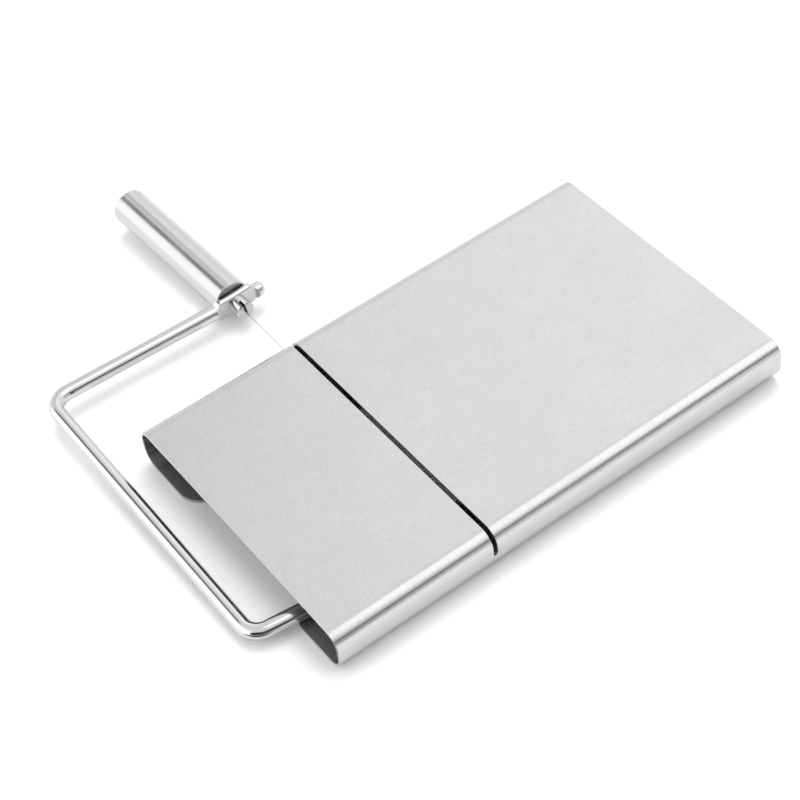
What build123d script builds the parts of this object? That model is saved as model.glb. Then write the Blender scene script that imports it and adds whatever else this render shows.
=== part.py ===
from build123d import *
import os
from math import asin, atan, atan2, cos, degrees, hypot, radians, sin, tan

# Wire cheese slicer: a folded steel board with a slot across it, and a bent rod arm that is
# hinged on the board and holds a tight wire in line with the slot. Millimetres.
# While it is modelled, x = 0 is the board's left end, y = 0 its front and z = 0 the table.

# Board, one folded sheet. Bend radii are outside ones.
board_length = 203.2
board_width = 125.0
board_height = 18.3
sheet = 1.0
top_bend_radius = 6.3
bottom_bend_radius = 7.2
flange_width = 33.0
flange_corner_radius = 10.0
sheet_edge_radius = 0.2

# Slot across the board, round at both ends. Its rear end lies just below the closed wire.
slot_x = 67.5
slot_width = 1.9
slot_front_floor = 8.3
slot_rest_gap = 0.15

# Bent rod arm. Bend radii are at the middle of the rod.
rod_diameter = 6.25
crossbar_gap = 13.3
pivot_from_flange_edge = 7.0
bolt_behind_board = 39.0
leg_draw_in = 2.75
front_bend_radius = 6.8
rear_bend_radius = 8.0
run_out_start = 9.0
run_out_rise = 3.2
run_out_radius = 60.0
rod_end_chamfer = 0.5

# Pressed flat near the end of the rear leg, and the round stub beyond it. The metal that the
# press squeezes out bulges above and below.
flat_thickness = 3.2
flat_height = 9.6
flat_bulge_radius = 1.8
flat_to_crossbar = 9.5
flat_to_stub = 8.8
flat_corner_radius = 3.2
flat_shoulder = 0.6
stub_length = 4.4
stub_end_radius = 2.2

# Bearing straps, each a strip whose leaf is welded on the front flange and whose curl holds the rod.
strip = 0.8
strap_width = 16.0
strap_leaf = 14.0
strap_corner_radius = 2.5
strap_curl_angle = 310.0
strap_clear_of_bend = 2.0
strap_from_slot = 18.0
rod_running_clearance = 0.05

# Snap rings of round wire, one at each side of the right strap.
ring_wire = 0.8
ring_side_gap = 0.3
ring_groove_clearance = 0.08
ring_arc_angle = 310.0
rod_end_beyond_ring = 4.0

# Cutting wire and the round nipples on its ends.
wire_diameter = 0.5
nipple_diameter = 2.2
nipple_clearance = 0.1
nipple_wire_clearance = 0.03
pivot_nipple_proud = 0.3
wire_hole_diameter = 0.9

# Tension bolt
head_diameter = 7.8
head_edge_chamfer = 0.35
head_web = 1.1
saw_slot_width = 1.0
saw_slot_depth = 2.8
saw_slot_turn = 8.5
anchor_behind_slot = 0.6
shank_diameter = 4.0
shank_end_chamfer = 0.5
bolt_hole_clearance = 0.15
seat_gap = 0.05

# Handle: a tube on the bolt's axis, with a threaded bush in its near end and a closed far end.
handle_diameter = 15.25
handle_reach = 75.0
handle_wall = 1.2
handle_near_edge_radius = 0.7
handle_far_edge_radius = 1.5
handle_toe = 2.3
handle_above_table = 1.0
handle_stand_off = 0.5
bush_nose_diameter = 6.0
bush_edge_chamfer = 0.2
thread_engagement = 16.0
thread_spare = 6.0
bush_bore_clearance = 0.05
press_clearance = 0.1
cap_rim = 2.4
cap_spigot = 5.0

# One length by which every cutter runs past what it cuts
overrun = 2.0

rod_radius = rod_diameter / 2
wire_radius = wire_diameter / 2
nipple_radius = nipple_diameter / 2
handle_radius = handle_diameter / 2

# The pivot leg lies in the straps' curls, which rest on the front flange.
bearing_radius = rod_radius + rod_running_clearance
pivot_y = flange_width - pivot_from_flange_edge
pivot_z = sheet + strip + bearing_radius

# Places in the arm's plane: x along the board, and s square to the pivot, towards the handle.
crossbar_x = -(crossbar_gap + rod_radius)
bolt_s = board_width + bolt_behind_board - pivot_y
leg_lean = degrees(atan(leg_draw_in / (slot_x - crossbar_x)))
rear_corner_s = bolt_s + leg_draw_in
left_strap_x = run_out_start + run_out_radius * tan(
    atan(run_out_rise / (run_out_start - crossbar_x)) / 2
) + strap_clear_of_bend
right_strap_x = slot_x + strap_from_slot
ring_offset = ring_side_gap + ring_wire / 2
inner_ring_x = right_strap_x - ring_offset
outer_ring_x = right_strap_x + strap_width + ring_offset
rod_end_x = outer_ring_x + rod_end_beyond_ring

# Along the handle's axis, outwards from the middle of the flat
flat_half = flat_thickness / 2
head_start = -(flat_half + seat_gap)
nipple_bore_radius = nipple_radius + nipple_clearance
head_length = saw_slot_depth + anchor_behind_slot + nipple_bore_radius + head_web
anchor_out = head_start - nipple_bore_radius - head_web
nose_start = flat_half + seat_gap
tube_start = flat_half + handle_stand_off
bush_length = thread_engagement + thread_spare
tube_bore_radius = handle_radius - handle_wall

# The closed arm tilts so that the handle hangs just above the table.
handle_near_s = bolt_s + tube_start
tilt_span = hypot(handle_near_s, handle_radius)
arm_tilt = degrees(atan2(handle_radius, handle_near_s) + asin((handle_above_table - pivot_z) / tilt_span))


def arm_point(x, s):
    """A point of the arm's plane in the board's axes."""
    tilt = radians(arm_tilt)
    return Vector(x, pivot_y + s * cos(tilt), pivot_z + s * sin(tilt))


def arm_plane():
    """x along the board, y away from the pivot, z square to the arm."""
    tilt = radians(arm_tilt)
    return Plane(origin=arm_point(0, 0), x_dir=(1, 0, 0), z_dir=(0, -sin(tilt), cos(tilt)))


def handle_plane():
    """Origin in the middle of the flat, x towards the crossbar, y up and z outwards."""
    toe = radians(handle_toe)
    origin = arm_point(slot_x, bolt_s)
    outwards = arm_plane().from_local_coords(Vector(-sin(toe), cos(toe), 0)) - arm_point(0, 0)
    crossbar_way = arm_plane().from_local_coords(Vector(-cos(toe), -sin(toe), 0)) - arm_point(0, 0)
    return Plane(origin=origin, x_dir=crossbar_way, z_dir=outwards)


def round_along_handle(radius, start, end):
    """A round bar on the handle's axis, in the handle's plane."""
    return Pos(0, 0, start) * extrude(Circle(radius), amount=end - start)


# Board


def wire_height(y):
    """Height of the closed wire's middle above the table."""
    return pivot_z + (y - pivot_y) * tan(radians(arm_tilt))


def slot_cutter(floor, front, rear):
    """An upright cutter with a round lower end, between two places along y."""
    end_radius = slot_width / 2
    top = board_height + overrun
    low = floor + end_radius
    outline = Pos(slot_x, (low + top) / 2) * Rectangle(slot_width, top - low)
    outline += Pos(slot_x, low) * Circle(end_radius)
    return extrude(Plane.XZ.offset(-rear) * outline, amount=rear - front)


def make_board():
    corners = [
        (flange_width, 0),
        (0, 0),
        (0, board_height),
        (board_width, board_height),
        (board_width, 0),
        (board_width - flange_width, 0),
    ]
    radii = [bottom_bend_radius, top_bend_radius, top_bend_radius, bottom_bend_radius]
    outside = Plane.YZ * FilletPolyline(*corners, radius=radii)
    section = make_face(outside.wire().offset_2d(sheet, side=Side.RIGHT, closed=True))
    board = extrude(section, amount=board_length, dir=(1, 0, 0))
    flange_corners = board.edges().filter_by(Axis.Z).group_by(SortBy.LENGTH)[0]
    board = fillet(flange_corners, flange_corner_radius)
    ends = board.faces().filter_by(Axis.X)
    board = fillet(ends.edges(), sheet_edge_radius)
    middle = board_width / 2
    rear_floor = wire_height(board_width - sheet) - wire_radius - slot_rest_gap
    board -= slot_cutter(slot_front_floor, -overrun, middle)
    board -= slot_cutter(rear_floor, middle, board_width + overrun)
    return board


def strap_side(height, curl_radius):
    """One side of the strip: along the leaf, then round the curl."""
    leaf = Line((pivot_y - strap_leaf, height), (pivot_y, height))
    return leaf, JernArc(leaf @ 1, leaf % 1, curl_radius, strap_curl_angle)


def make_bearing_strap(start_x):
    """A leaf on the flange that runs into a curl round the rod, as in a hinge knuckle."""
    outer_leaf, outer_curl = strap_side(sheet, bearing_radius + strip)
    inner_leaf, inner_curl = strap_side(sheet + strip, bearing_radius)
    leaf_end = Line(outer_leaf @ 0, inner_leaf @ 0)
    curl_tip = Line(outer_curl @ 1, inner_curl @ 1)
    outline = make_face([outer_leaf, outer_curl, curl_tip, inner_curl, inner_leaf, leaf_end])
    strap = extrude(Plane.YZ.offset(start_x) * outline, amount=strap_width)
    leaf_corners = strap.edges().filter_by(Axis.Z).group_by(Axis.Y)[0]
    return fillet(leaf_corners, strap_corner_radius)


# Arm


def ring_groove(ring_x):
    torus = Torus(rod_radius, ring_wire / 2 + ring_groove_clearance)
    return Pos(arm_point(ring_x, 0)) * Rot(0, 90, 0) * torus


def pivot_nipple_s():
    """Place of the pivot nipple's middle, on the front side of the rod."""
    return -(rod_radius + pivot_nipple_proud - nipple_radius)


def make_bent_rod():
    corner_run = slot_x + flat_to_stub + stub_length - crossbar_x
    path = FilletPolyline(
        (rod_end_x, 0),
        (run_out_start, 0),
        (crossbar_x, run_out_rise),
        (crossbar_x, rear_corner_s),
        (crossbar_x + corner_run, rear_corner_s - corner_run * tan(radians(leg_lean))),
        radius=[run_out_radius, front_bend_radius, rear_bend_radius],
    )
    path = arm_plane() * path
    rod = sweep(Plane(origin=path @ 0, z_dir=path % 0) * Circle(rod_radius), path=path)
    pivot_end = rod.faces().sort_by_distance(path @ 0)[0]
    rod = chamfer(pivot_end.edges(), rod_end_chamfer)
    stub_end = rod.faces().sort_by_distance(path @ 1)[0]
    return fillet(stub_end.edges(), stub_end_radius)


def flat_die(side):
    """What the press takes off one side of the rod: a trough with sloping ends."""
    deep = side * flat_half
    clear = side * (rod_radius + overrun)
    slope = flat_shoulder * (rod_radius + overrun - flat_half) / (rod_radius - flat_half)
    outline = Polyline(
        (flat_to_crossbar, deep),
        (flat_to_crossbar + slope, clear),
        (-flat_to_stub - slope, clear),
        (-flat_to_stub, deep),
        close=True,
    )
    return extrude(make_face(Plane.XZ * outline), amount=flat_height, both=True)


def make_flat_blank():
    """The spread metal between the two flats, with a round bulge above and below."""
    flat_length = flat_to_stub + flat_to_crossbar
    flat_middle = (flat_to_crossbar - flat_to_stub) / 2
    outline = Pos(flat_middle, 0) * RectangleRounded(flat_length, flat_height, flat_corner_radius)
    section = Rectangle(flat_height, flat_thickness)
    bulge_middle = flat_height / 2 - flat_bulge_radius
    core = Rectangle(2 * bulge_middle, flat_thickness)
    for side in (-1, 1):
        core += section & (Pos(side * bulge_middle, 0) * Circle(flat_bulge_radius))
    start = Plane(origin=(-flat_to_stub, 0, 0), x_dir=(0, 1, 0), z_dir=(1, 0, 0))
    return extrude(start * core, amount=flat_length) & extrude(outline, amount=flat_thickness, both=True)


def make_arm_rod():
    rod = make_bent_rod()
    place = handle_plane()
    rod -= [place * flat_die(side) for side in (-1, 1)]
    rod += place * make_flat_blank()
    hole_radius = shank_diameter / 2 + bolt_hole_clearance
    rod -= place * round_along_handle(hole_radius, -flat_thickness, flat_thickness)
    rod -= [ring_groove(x) for x in (inner_ring_x, outer_ring_x)]
    across = Plane(origin=arm_point(slot_x, 0), z_dir=arm_plane().y_dir)
    rod -= across * extrude(Circle(wire_hole_diameter / 2), amount=rod_diameter, both=True)
    pocket_floor = -pivot_nipple_s() - nipple_bore_radius
    pocket = Pos(0, 0, -pocket_floor) * extrude(Circle(nipple_bore_radius), amount=-rod_diameter)
    return rod - across * pocket


def make_snap_ring(ring_x):
    """Open ring of round wire, half sunk in its groove, with the gap upwards."""
    ring = Torus(rod_radius, ring_wire / 2, major_angle=ring_arc_angle)
    gap_turn = (360 - ring_arc_angle) / 2
    return Pos(arm_point(ring_x, 0)) * Rot(0, 90, 0) * Rot(0, 0, 180 + gap_turn) * ring


# Wire and nipples


def wire_ends():
    """Middles of the pivot nipple and the bolt nipple."""
    near = arm_point(slot_x, pivot_nipple_s())
    far = handle_plane().from_local_coords(Vector(0, 0, anchor_out))
    return near, far


def wire_plane(origin):
    near, far = wire_ends()
    return Plane(origin=origin, z_dir=far - near)


def make_cutting_wire():
    """One straight length, from the outer side of one nipple to that of the other."""
    near, far = wire_ends()
    length = (far - near).length + nipple_diameter
    start = Pos(0, 0, -nipple_radius)
    return wire_plane(near) * start * extrude(Circle(wire_radius), amount=length)


def make_nipple(middle):
    """A ball swaged on the wire."""
    bore = Cylinder(wire_radius + nipple_wire_clearance, nipple_diameter + overrun)
    return wire_plane(middle) * (Sphere(nipple_radius) - bore)


def make_tension_bolt():
    """Round head with a saw slot across its end, and a blind bore from below for the nipple."""
    head_end = head_start - head_length
    head = round_along_handle(head_diameter / 2, head_end, head_start)
    head = chamfer(head.edges().group_by(Axis.Z)[0], head_edge_chamfer)
    shank_end = tube_start + thread_engagement
    shank = round_along_handle(shank_diameter / 2, head_start, shank_end)
    shank = chamfer(shank.edges().group_by(Axis.Z)[-1], shank_end_chamfer)
    slot_floor = head_end + saw_slot_depth
    saw_slot = Pos(0, 0, slot_floor - saw_slot_depth / 2 - overrun / 2) * Box(
        saw_slot_width, head_diameter + overrun, saw_slot_depth + overrun
    )
    bore_top = Plane(origin=(0, nipple_bore_radius, anchor_out), z_dir=(0, -1, 0))
    bore = bore_top * extrude(Circle(nipple_bore_radius), amount=head_diameter)
    cuts = Rot(0, 0, -saw_slot_turn) * (saw_slot + bore)
    return handle_plane() * (head + shank - cuts)


# Handle


def make_handle_tube():
    end = handle_reach - cap_rim
    tube = round_along_handle(handle_radius, tube_start, end)
    tube = fillet(tube.edges().group_by(Axis.Z)[0], handle_near_edge_radius)
    tube -= round_along_handle(tube_bore_radius, tube_start - overrun, end + overrun)
    return handle_plane() * tube


def make_handle_bush():
    """Pressed flush into the near end. It turns on the bolt's thread, and its nose bears on the flat."""
    far_end = tube_start + bush_length
    bush = round_along_handle(tube_bore_radius - press_clearance, tube_start, far_end)
    bush += round_along_handle(bush_nose_diameter / 2, nose_start, tube_start)
    bush = chamfer(bush.edges().group_by(Axis.Z)[0], bush_edge_chamfer)
    bore_radius = shank_diameter / 2 + bush_bore_clearance
    bush -= round_along_handle(bore_radius, nose_start - overrun, far_end + overrun)
    return handle_plane() * bush


def make_handle_end_cap():
    rim = round_along_handle(handle_radius, handle_reach - cap_rim, handle_reach)
    rim = fillet(rim.edges().group_by(Axis.Z)[-1], handle_far_edge_radius)
    spigot_end = handle_reach - cap_rim
    spigot = round_along_handle(tube_bore_radius - press_clearance, spigot_end - cap_spigot, spigot_end)
    return handle_plane() * (rim + spigot)


pivot_end_of_wire, bolt_end_of_wire = wire_ends()
parts = {
    "board": make_board(),
    "left_bearing_strap": make_bearing_strap(left_strap_x),
    "right_bearing_strap": make_bearing_strap(right_strap_x),
    "arm_rod": make_arm_rod(),
    "inner_retaining_ring": make_snap_ring(inner_ring_x),
    "outer_retaining_ring": make_snap_ring(outer_ring_x),
    "cutting_wire": make_cutting_wire(),
    "pivot_nipple": make_nipple(pivot_end_of_wire),
    "bolt_nipple": make_nipple(bolt_end_of_wire),
    "tension_bolt": make_tension_bolt(),
    "handle_tube": make_handle_tube(),
    "handle_insert": make_handle_bush(),
    "handle_end_cap": make_handle_end_cap(),
}

# The origin goes to the middle of the whole footprint, on the table.
whole = Compound(list(parts.values())).bounding_box()
footprint_middle = Vector(whole.center().X, whole.center().Y, whole.min.Z)

os.makedirs("parts", exist_ok=True)
for name, solid in parts.items():
    placed = Pos(-footprint_middle) * solid
    placed.label = name
    export_step(placed, f"parts/{name}.step")
    print(name, len(placed.solids()), "solid", round(placed.volume, 1), "mm3")
print("origin in the board's axes", footprint_middle)
print("whole size", whole.size)
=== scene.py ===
from math import cos, pi, radians, sin

import bpy
from mathutils import Matrix, Vector


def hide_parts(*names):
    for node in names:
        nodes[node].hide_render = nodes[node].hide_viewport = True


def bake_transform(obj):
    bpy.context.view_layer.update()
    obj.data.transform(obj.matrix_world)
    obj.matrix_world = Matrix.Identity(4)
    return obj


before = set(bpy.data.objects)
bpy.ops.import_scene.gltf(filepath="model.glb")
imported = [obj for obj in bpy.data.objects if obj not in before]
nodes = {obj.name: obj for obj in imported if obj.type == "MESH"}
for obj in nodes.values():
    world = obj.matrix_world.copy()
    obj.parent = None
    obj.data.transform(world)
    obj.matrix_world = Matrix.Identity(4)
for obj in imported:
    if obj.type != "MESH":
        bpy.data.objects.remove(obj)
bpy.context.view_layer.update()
scene = bpy.context.scene

# Small helpers


def linearColour(hexCode):
    channels = [int(hexCode[i:i + 2], 16) / 255 for i in (1, 3, 5)]
    return [c / 12.92 if c <= 0.04045 else ((c + 0.055) / 1.055) ** 2.4 for c in channels] + [1.0]


def addNode(tree, kind, props=None, values=None, links=None):
    node = tree.nodes.new(kind)
    for name, value in (props or {}).items():
        setattr(node, name, value)
    for socket, value in (values or {}).items():
        node.inputs[socket].default_value = value
    for socket, source in (links or {}).items():
        tree.links.new(source, node.inputs[socket])
    return node


def newMaterial(name):
    material = bpy.data.materials.new(name)
    material.use_nodes = True
    material.node_tree.nodes.clear()
    return material, material.node_tree


def bearing(azimuth, elevation):
    # azimuth 0 is the back of the room (+Y) and 90 its right (+X), in degrees
    a, e = radians(azimuth), radians(elevation)
    return Vector((sin(a) * cos(e), cos(a) * cos(e), sin(e)))


def giveMaterial(material, *names):
    for name in names:
        nodes[name].data.materials.clear()
        nodes[name].data.materials.append(material)


# Where the arm's pressed flat, the bolt and the handle lie, and the board's section with its slot.
# Metres in the frame's axes, and degrees.

handleAxis = {"middle": (-0.024325, 0.044372, 0.008565), "outwards": (-0.04012, 0.998857, 0.025995),
              "up": (0.001045, -0.025973, 0.999662)}
pressedFlat = {"reach": 0.0018, "leastSquare": 0.97}
boltHead = {"slotTurn": 8.5, "slotHalf": 0.00052, "slotStart": -0.0045, "leastSquare": 0.9}
boardSection = {"middle": (0.0, -0.057081, 0.00915), "slotX": -0.024325, "slotHalf": 0.00096,
                "leastSideways": 0.7, "leastInwards": 0.0001}

# Metals. One builder holds what they share: a fine grain that tilts the surface a little, and
# patches where the finish is a shade duller or brighter. The finishes' sizes are in millimetres.

mmPerMetre = 1000.0
quarterTurn = 0.25
noise = {"Detail": 3.0, "Roughness": 0.6}  # of the grain and the clouds
patchNoise = {"Detail": 1.0, "Roughness": 0.5, "low": 0.3, "high": 0.7}

steelFinishes = {
    "satinBrushedStainless": {
        # cold-rolled sheet, brushed across its width: soft grey, with short faint lines across the
        # board and a very faint cloudiness under them
        "colour": "#DDDDDD", "roughness": 0.26, "patchRoughness": 0.03, "patchSize": 30.0,
        "grainLength": 2.6, "grainWidth": 0.8, "grainAxis": "Y", "grainHeight": 0.001,
        "anisotropy": 0.55, "tangentAxis": "X",
        "grainShade": 0.2, "cloudShade": 0.09, "cloudSize": 7.0,
    },
    "rolledStainlessStrip": {
        # mill-finish strip, left as it came off the roll: a little duller than the sheet
        "colour": "#CECECE", "roughness": 0.34, "patchRoughness": 0.06, "patchSize": 6.0,
        "grainLength": 8.0, "grainWidth": 0.4, "grainAxis": "X", "grainHeight": 0.0008,
        "anisotropy": 0.3, "tangentAxis": "X",
    },
    "polishedStainlessBar": {
        # drawn bar, buffed after bending: crisp reflections, a touch soft from the mop
        "colour": "#E2E2E2", "roughness": 0.1, "patchRoughness": 0.04, "patchSize": 9.0,
        "grainLength": 3.0, "grainWidth": 1.2, "grainAxis": "Y", "grainHeight": 0.0003,
        "anisotropy": 0.0, "tangentAxis": "X",
    },
    "polishedStainlessTube": {
        # drawn tube, linished along its length: long soft highlights with fine lines in them
        "colour": "#D9D9D9", "roughness": 0.22, "patchRoughness": 0.03, "patchSize": 14.0,
        "grainLength": 30.0, "grainWidth": 0.5, "grainAxis": "Y", "grainHeight": 0.0012,
        "anisotropy": 0.35, "tangentAxis": "Y",
    },
    "turnedStainless": {
        # turned on a lathe and tumbled: bright, with soft edges to its reflections
        "colour": "#D8D8D8", "roughness": 0.14, "patchRoughness": 0.05, "patchSize": 3.0,
        "grainLength": 2.0, "grainWidth": 0.3, "grainAxis": "X", "grainHeight": 0.0004,
        "anisotropy": 0.2, "tangentAxis": "Y",
    },
    "drawnSpringSteel": {
        # hard drawn stainless wire: smooth, slightly darker than the bar
        "colour": "#C6C7C8", "roughness": 0.2, "patchRoughness": 0.04, "patchSize": 2.0,
        "grainLength": 3.0, "grainWidth": 0.3, "grainAxis": "X", "grainHeight": 0.0002,
        "anisotropy": 0.0, "tangentAxis": "X",
    },
    "brightDrawnWire": {
        # wire drawn through a die: smooth and pale, a thin light grey line
        "colour": "#CFCFCF", "roughness": 0.3, "patchRoughness": 0.02, "patchSize": 5.0,
        "grainLength": 5.0, "grainWidth": 0.2, "grainAxis": "Y", "grainHeight": 0.0,
        "anisotropy": 0.0, "tangentAxis": "Y",
    },
}

# Places on a piece painted darker than the rest of it, as painted shade, where the finish is also
# rougher

paintedShadePlaces = {
    # inside of the folded sheet and the cut walls of its slot: a darker colour as painted shade in the
    # hollow, on a rougher unbrushed finish
    "shadedInsideOfSheet": {"colour": "#B6B6B6", "roughness": 0.36},
    # face left by the press: a rougher crushed surface, and a darker colour as painted shade
    "shadedPressedFace": {"colour": "#D1D1D1", "roughness": 0.28},
    # faced end of the bolt: rough from the parting tool, and a darker colour as painted shade
    "shadedEndFace": {"colour": "#C4C4C4", "roughness": 0.34},
    # saw cut: painted shade, near black, in the depth of the slot
    "paintedSlotShade": {"colour": "#303030", "roughness": 0.6},
    # cut end of the handle, facing the arm: a darker colour as painted shade in the narrow gap, and
    # rougher
    "shadedCutEnd": {"colour": "#B4B4B4", "roughness": 0.36},
}


def dot(tree, vector, direction):
    return addNode(tree, "ShaderNodeVectorMath", {"operation": "DOT_PRODUCT"}, {1: direction},
                   {0: vector}).outputs["Value"]


def math(tree, operation, first, second):
    values, links = {}, {}
    for socket, item in enumerate((first, second)):
        (values if isinstance(item, (int, float)) else links)[socket] = item
    return addNode(tree, "ShaderNodeMath", {"operation": operation}, values, links).outputs["Value"]


def fromMiddle(tree, coords, middle):
    return addNode(tree, "ShaderNodeVectorMath", {"operation": "SUBTRACT"}, {1: middle},
                   {0: coords.outputs["Object"]}).outputs["Vector"]


# painted shade: finds the inside of the hollow board and the walls of its slot, which get a darker
# colour
def shadedInsideOfSheet(tree, coords):
    # the inner side's normals point to the middle of the board's section
    place = fromMiddle(tree, coords, boardSection["middle"])
    flatPlace = addNode(tree, "ShaderNodeVectorMath", {"operation": "MULTIPLY"}, {1: (0, 1, 1)},
                        {0: place})
    both = addNode(tree, "ShaderNodeVectorMath", {"operation": "DOT_PRODUCT"}, None,
                   {0: coords.outputs["Normal"], 1: flatPlace.outputs["Vector"]})
    inner = math(tree, "LESS_THAN", both.outputs["Value"], -boardSection["leastInwards"])
    across = dot(tree, fromMiddle(tree, coords, (boardSection["slotX"], 0, 0)), (1, 0, 0))
    nearSlot = math(tree, "LESS_THAN", math(tree, "ABSOLUTE", across, 0.0), boardSection["slotHalf"])
    normal = math(tree, "ABSOLUTE", dot(tree, coords.outputs["Normal"], (1, 0, 0)), 0.0)
    sideways = math(tree, "GREATER_THAN", normal, boardSection["leastSideways"])
    return math(tree, "MAXIMUM", inner, math(tree, "MULTIPLY", nearSlot, sideways))


def alongHandle(tree, coords):
    return dot(tree, fromMiddle(tree, coords, handleAxis["middle"]), handleAxis["outwards"])


# painted shade: finds the pressed flat's faces, which get a darker colour
def shadedPressedFace(tree, coords):
    normal = math(tree, "ABSOLUTE", dot(tree, coords.outputs["Normal"], handleAxis["outwards"]), 0.0)
    square = math(tree, "GREATER_THAN", normal, pressedFlat["leastSquare"])
    away = math(tree, "ABSOLUTE", alongHandle(tree, coords), 0.0)
    near = math(tree, "LESS_THAN", away, pressedFlat["reach"])
    return math(tree, "MULTIPLY", square, near)


# painted shade: finds end faces that look back along the handle towards the arm, which get a darker
# colour
def shadedEndFace(tree, coords):
    normal = dot(tree, coords.outputs["Normal"], [-c for c in handleAxis["outwards"]])
    return math(tree, "GREATER_THAN", normal, boltHead["leastSquare"])


# painted shade: finds the slot across the bolt head, which is painted near black
def paintedSlotShade(tree, coords):
    outwards, up = Vector(handleAxis["outwards"]), Vector(handleAxis["up"])
    turn = radians(boltHead["slotTurn"])
    across = up.cross(outwards) * cos(turn) - up * sin(turn)
    place = fromMiddle(tree, coords, handleAxis["middle"])
    offLine = math(tree, "ABSOLUTE", dot(tree, place, across), 0.0)
    inSlot = math(tree, "LESS_THAN", offLine, boltHead["slotHalf"])
    outer = math(tree, "LESS_THAN", alongHandle(tree, coords), boltHead["slotStart"])
    return math(tree, "MULTIPLY", inSlot, outer)


def noiseOf(tree, space, scale, settings):
    values = {"Scale": scale, "Detail": settings["Detail"], "Roughness": settings["Roughness"]}
    return addNode(tree, "ShaderNodeTexNoise", {"noise_dimensions": "3D"}, values, {"Vector": space})


def shadeOfGrain(tree, coords, lines, finish):
    # the brushed lines hold a little shade, and so does the cloudiness; none for plain finishes
    if "grainShade" not in finish:
        return None
    steel = linearColour(finish["colour"])
    clouds = noiseOf(tree, coords.outputs["Object"], mmPerMetre / finish["cloudSize"], noise)
    amount = math(tree, "ADD", math(tree, "MULTIPLY", lines.outputs["Fac"], finish["grainShade"]),
                  math(tree, "MULTIPLY", clouds.outputs["Fac"], finish["cloudShade"]))
    spread = (finish["grainShade"] + finish["cloudShade"]) / 2
    darker = [c * (1 - spread) for c in steel[:3]] + [1.0]
    lighter = [c * (2 - spread) for c in steel[:3]] + [1.0]
    return addNode(tree, "ShaderNodeMix", {"data_type": "RGBA", "clamp_factor": False},
                   {6: darker, 7: lighter}, {0: amount}).outputs[2]


def makeSteel(name, finish, paintedShade=()):
    material, tree = newMaterial(name)
    coords = addNode(tree, "ShaderNodeTexCoord")
    # lines: noise that changes fast across the grain and slowly along it
    fast, slow = mmPerMetre / finish["grainWidth"], mmPerMetre / finish["grainLength"]
    stretch = [slow if axis == finish["grainAxis"] else fast for axis in "XYZ"]
    lineSpace = addNode(tree, "ShaderNodeMapping", {"vector_type": "POINT"}, {"Scale": stretch},
                        {"Vector": coords.outputs["Object"]})
    lines = noiseOf(tree, lineSpace.outputs["Vector"], 1.0, noise)
    patches = noiseOf(tree, coords.outputs["Object"], mmPerMetre / finish["patchSize"], patchNoise)
    low = finish["roughness"] - finish["patchRoughness"]
    high = finish["roughness"] + finish["patchRoughness"]
    roughness = addNode(tree, "ShaderNodeMapRange", {"clamp": True},
                        {"From Min": patchNoise["low"], "From Max": patchNoise["high"],
                         "To Min": low, "To Max": high},
                        {"Value": patches.outputs["Fac"]}).outputs["Result"]
    colour = shadeOfGrain(tree, coords, lines, finish)
    # each place of painted shade gets its darker colour and rougher finish
    for place, find in paintedShade:
        look, mask = paintedShadePlaces[place], find(tree, coords)
        roughness = addNode(tree, "ShaderNodeMix", {"data_type": "FLOAT"}, {3: look["roughness"]},
                            {0: mask, 2: roughness}).outputs[0]
        mix = addNode(tree, "ShaderNodeMix", {"data_type": "RGBA"},
                      {6: linearColour(finish["colour"]), 7: linearColour(look["colour"])}, {0: mask})
        if colour:
            tree.links.new(colour, mix.inputs[6])
        colour = mix.outputs[2]
    relief = addNode(tree, "ShaderNodeBump", None,
                     {"Strength": 1.0, "Distance": finish["grainHeight"] / mmPerMetre},
                     {"Height": lines.outputs["Fac"]})
    tangent = addNode(tree, "ShaderNodeTangent",
                      {"direction_type": "RADIAL", "axis": finish["tangentAxis"]})
    surface = addNode(tree, "ShaderNodeBsdfPrincipled", None,
                      {"Base Color": linearColour(finish["colour"]), "Metallic": 1.0,
                       "Anisotropic": finish["anisotropy"], "Anisotropic Rotation": quarterTurn},
                      {"Roughness": roughness, "Normal": relief.outputs["Normal"],
                       "Tangent": tangent.outputs["Tangent"]})
    if colour:
        tree.links.new(colour, surface.inputs["Base Color"])
    addNode(tree, "ShaderNodeOutputMaterial", None, None, {"Surface": surface.outputs["BSDF"]})
    return material


boardSteel = makeSteel("satinBrushedStainlessSheet", steelFinishes["satinBrushedStainless"],
                       [("shadedInsideOfSheet", shadedInsideOfSheet)])
barSteel = makeSteel("buffedStainlessBar", steelFinishes["polishedStainlessBar"],
                     [("shadedPressedFace", shadedPressedFace)])
boltSteel = makeSteel("turnedStainlessWithPaintedSlotShade", steelFinishes["turnedStainless"],
                      [("shadedEndFace", shadedEndFace), ("paintedSlotShade", paintedSlotShade)])
tubeSteel = makeSteel("linishedStainlessTube", steelFinishes["polishedStainlessTube"],
                      [("shadedCutEnd", shadedEndFace)])
bushSteel = makeSteel("turnedStainlessBush", steelFinishes["turnedStainless"], [("shadedCutEnd", shadedEndFace)])
stripSteel = makeSteel("rolledStainlessStrip", steelFinishes["rolledStainlessStrip"])
springSteel = makeSteel("drawnSpringSteel", steelFinishes["drawnSpringSteel"])
nippleSteel = makeSteel("swagedStainless", steelFinishes["turnedStainless"])
wireSteel = makeSteel("brightDrawnWire", steelFinishes["brightDrawnWire"])
giveMaterial(boardSteel, "board")
giveMaterial(stripSteel, "left_bearing_strap", "right_bearing_strap")
giveMaterial(barSteel, "arm_rod")
giveMaterial(springSteel, "inner_retaining_ring", "outer_retaining_ring")
giveMaterial(boltSteel, "tension_bolt")
giveMaterial(bushSteel, "handle_insert")
giveMaterial(nippleSteel, "pivot_nipple", "bolt_nipple")
giveMaterial(tubeSteel, "handle_tube", "handle_end_cap")
print("steels given to", len(nodes), "nodes")

# Wire: one straight length that follows the arm at one end and the bolt at the other. Metres.

wire = {"radius": 0.00025, "sides": 24, "steps": 60, "endDepth": 0.001}


def middleOf(corners):
    return sum(corners, Vector()) / len(corners)


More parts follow.
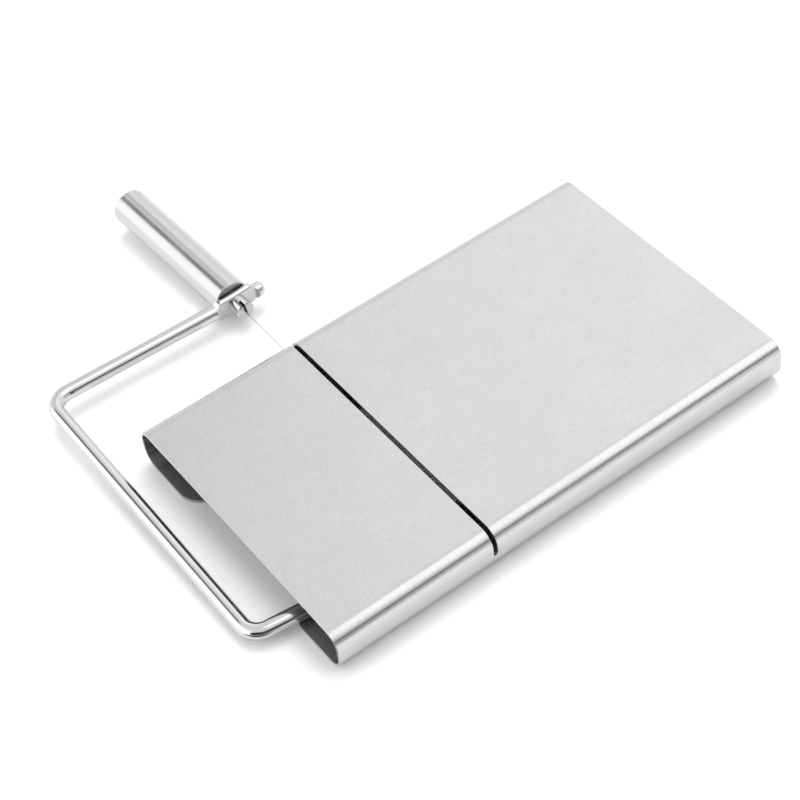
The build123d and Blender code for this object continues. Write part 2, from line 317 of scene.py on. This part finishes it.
def makeWire():
    solid = nodes["cutting_wire"]
    corners = [solid.matrix_world @ vertex.co for vertex in solid.data.vertices]
    front, back = min(c.y for c in corners), max(c.y for c in corners)
    near = middleOf([c for c in corners if c.y < front + wire["endDepth"]])
    far = middleOf([c for c in corners if c.y > back - wire["endDepth"]])
    along = (far - near).normalized()
    side = along.orthogonal().normalized()
    other = along.cross(side)
    steps, sides = wire["steps"], wire["sides"]
    points, faces = [], []
    for step in range(steps + 1):
        middle = near.lerp(far, step / steps)
        for k in range(sides):
            turn = 2 * pi * k / sides
            points.append(middle + wire["radius"] * (cos(turn) * side + sin(turn) * other))
    for step in range(steps):
        for k in range(sides):
            here, following = step * sides, (step + 1) * sides
            onward = (k + 1) % sides
            faces.append((here + k, here + onward, following + onward, following + k))
    faces.append(tuple(reversed(range(sides))))
    faces.append(tuple(range(steps * sides, (steps + 1) * sides)))
    mesh = bpy.data.meshes.new("stretchedWire")
    mesh.from_pydata(points, [], faces)
    for face in mesh.polygons:
        face.use_smooth = len(face.vertices) == 4
    piece = bpy.data.objects.new("stretchedWire", mesh)
    scene.collection.objects.link(piece)
    mesh.materials.append(wireSteel)
    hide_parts("cutting_wire")
    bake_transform(piece)


makeWire()
print("wire strung")

# Floor: a matt white paper sweep. The camera and the metal see it a little whiter than it lights the
# rest, so it comes out white and keeps its shadows. Off the arm's front bend a dark patch is painted on
# it that
# only the metal sees: a painted dark reflection in the bend.

paintedDarkReflection = {"middle": (-0.144, -0.142, 0.0), "full": 0.045, "gone": 0.056, "colour": "#3A3A3A"}
floor = {"size": 6.0, "paper": "#F1F1F1", "shownToCamera": 1.28, "shownToMetal": 1.04, "drop": 0.0002}


def makeFloor():
    mesh = bpy.data.meshes.new("studioFloor")
    half = floor["size"] / 2
    corners = [(-half, -half, -floor["drop"]), (half, -half, -floor["drop"]),
               (half, half, -floor["drop"]), (-half, half, -floor["drop"])]
    mesh.from_pydata(corners, [], [(0, 1, 2, 3)])
    sweep = bpy.data.objects.new("studioFloor", mesh)
    scene.collection.objects.link(sweep)
    material, tree = newMaterial("mattWhitePaper")
    path = addNode(tree, "ShaderNodeLightPath")
    paper = linearColour(floor["paper"])
    toCamera, toMetal = ([c * floor[seen] for c in paper[:3]] + [1.0]
                         for seen in ("shownToCamera", "shownToMetal"))
    coords = addNode(tree, "ShaderNodeTexCoord")
    away = addNode(tree, "ShaderNodeVectorMath", {"operation": "DISTANCE"}, {1: paintedDarkReflection["middle"]},
                   {0: coords.outputs["Object"]}).outputs["Value"]
    paintedReflectionMask = addNode(tree, "ShaderNodeMapRange", {"interpolation_type": "SMOOTHSTEP"},
                    {"From Min": paintedDarkReflection["gone"], "From Max": paintedDarkReflection["full"]},
                    {"Value": away}).outputs["Result"]
    # painted reflection: the metal sees the dark patch here, the camera doesn't
    toMetal = addNode(tree, "ShaderNodeMix", {"data_type": "RGBA"},
                      {6: toMetal, 7: linearColour(paintedDarkReflection["colour"])}, {0: paintedReflectionMask}).outputs[2]
    bounced = math(tree, "MAXIMUM", path.outputs["Is Glossy Ray"], path.outputs["Is Transmission Ray"])
    tint = addNode(tree, "ShaderNodeMix", {"data_type": "RGBA"}, {6: paper},
                   {0: bounced, 7: toMetal}).outputs[2]
    tint = addNode(tree, "ShaderNodeMix", {"data_type": "RGBA"}, {7: toCamera},
                   {0: path.outputs["Is Camera Ray"], 6: tint}).outputs[2]
    matt = addNode(tree, "ShaderNodeBsdfDiffuse", None, {"Roughness": 0.0}, {"Color": tint})
    addNode(tree, "ShaderNodeOutputMaterial", None, None, {"Surface": matt.outputs["BSDF"]})
    mesh.materials.append(material)


makeFloor()
print("floor laid")

# Studio: a pale room with a large soft box over the front right, a white sweep at the left, a dark
# gap and a faint shade high at the rear, and dark shades low at the front. Brightness 1 shows white,
# and angles are in degrees.

studio = {
    "room": 0.81,
    "patches": [
        # name, azimuth, elevation, full out to, gone by (both from its middle), brightness
        ("rightWall", 75, 20, 25, 60, 0.92),
        ("rightRear", 47, 43, 4, 22, 1.08),
        ("softBox", 118, 64, 13, 24, 1.42),
        ("softBoxFront", 135, 50, 8, 15, 1.4),
        ("leftSweep", -75, 6, 35, 60, 1.4),
        ("darkGap", -26, 50, 3, 14, 0.16),
        ("rearShade", 14, 42, 3, 11, 0.6),
        ("lowFrontShade", 187, 17, 17, 27, 0.08),
        ("frontLeftShade", 220, 15, 21, 30, 0.05),
    ],
    "strip": {"azimuth": 160, "low": 19, "high": 31, "edge": 5, "spread": 60, "fullShare": 0.6,
              "brightness": 0.12},
}


def makeStudio():
    world = bpy.data.worlds.new("paleStudio")
    scene.world = world
    world.use_nodes = True
    tree = world.node_tree
    tree.nodes.clear()
    direction = addNode(tree, "ShaderNodeTexCoord").outputs["Generated"]
    room = addNode(tree, "ShaderNodeValue")
    room.outputs[0].default_value = studio["room"]
    level = room.outputs[0]

    def towards(azimuth, elevation):
        return addNode(tree, "ShaderNodeVectorMath", {"operation": "DOT_PRODUCT"},
                       {1: bearing(azimuth, elevation)}, {0: direction}).outputs["Value"]

    def smoothly(value, start, end):
        return addNode(tree, "ShaderNodeMapRange", {"interpolation_type": "SMOOTHSTEP"},
                       {"From Min": start, "From Max": end}, {"Value": value}).outputs["Result"]

    def blendTo(base, mask, brightness):
        return addNode(tree, "ShaderNodeMix", {"data_type": "FLOAT"}, {3: brightness},
                       {0: mask, 2: base}).outputs[0]

    for name, azimuth, elevation, full, gone, brightness in studio["patches"]:
        mask = smoothly(towards(azimuth, elevation), cos(radians(gone)), cos(radians(full)))
        level = blendTo(level, mask, brightness)
    strip = studio["strip"]
    height = addNode(tree, "ShaderNodeSeparateXYZ", None, None, {0: direction}).outputs["Z"]
    low, high, edge = (strip[k] for k in ("low", "high", "edge"))
    above = smoothly(height, sin(radians(low - edge)), sin(radians(low + edge)))
    below = smoothly(height, sin(radians(high + edge)), sin(radians(high - edge)))
    gone, full = radians(strip["spread"]), radians(strip["spread"] * strip["fullShare"])
    side = smoothly(towards(strip["azimuth"], 0), cos(gone), cos(full))
    mask = math(tree, "MULTIPLY", math(tree, "MULTIPLY", above, below), side)
    level = blendTo(level, mask, strip["brightness"])
    path = addNode(tree, "ShaderNodeLightPath")
    shown = blendTo(level, path.outputs["Is Camera Ray"], 1.0)
    glow = addNode(tree, "ShaderNodeBackground", None, {"Color": (1, 1, 1, 1)}, {"Strength": shown})
    addNode(tree, "ShaderNodeOutputWorld", None, None, {"Surface": glow.outputs["Background"]})


makeStudio()
print("studio lit")

# Key: a soft light high up at the right rear. It gives the floor the faint shadows in front of the
# rods and the board, and isn't seen in the metal.

key = {"azimuth": 38, "elevation": 66, "spread": 36, "strength": 1.0}


def makeKey():
    lamp = bpy.data.lights.new("softKey", "SUN")
    lamp.energy = key["strength"]
    lamp.angle = radians(key["spread"])
    holder = bpy.data.objects.new("softKey", lamp)
    scene.collection.objects.link(holder)
    holder.rotation_euler = bearing(key["azimuth"], key["elevation"]).to_track_quat("Z", "Y").to_euler()
    holder.visible_glossy = False  # a lamp shape would show in the round bars


makeKey()
print("key light set")

# Camera: where the photograph was taken from, found from the board's outline. Lens and sensor are in
# millimetres, distances in metres, and azimuth 0 looks from the front (-Y).

camera = {"azimuth": -31.746, "elevation": 48.146, "roll": -7.03, "distance": 0.74681,
          "target": (-0.002374, -0.033662, 0.0), "lens": 88.714, "sensor": 36.0,
          "nearest": 0.01, "farthest": 50.0}


def makeCamera():
    a, e, r = (radians(camera[k]) for k in ("azimuth", "elevation", "roll"))
    back = Vector((sin(a) * cos(e), -cos(a) * cos(e), sin(e)))
    right = Vector((cos(a), sin(a), 0.0))
    up = back.cross(right)
    tiltedRight = cos(r) * right + sin(r) * up
    tiltedUp = cos(r) * up - sin(r) * right
    eye = bpy.data.objects.new("camera", bpy.data.cameras.new("camera"))
    scene.collection.objects.link(eye)
    eye.data.lens, eye.data.sensor_width = camera["lens"], camera["sensor"]
    eye.data.clip_start, eye.data.clip_end = camera["nearest"], camera["farthest"]
    turn = Matrix((tiltedRight, tiltedUp, back)).transposed().to_4x4()
    eye.matrix_world = Matrix.Translation(Vector(camera["target"]) + back * camera["distance"]) @ turn
    scene.camera = eye


makeCamera()
scene.view_settings.view_transform = "Standard"
print("camera placed")
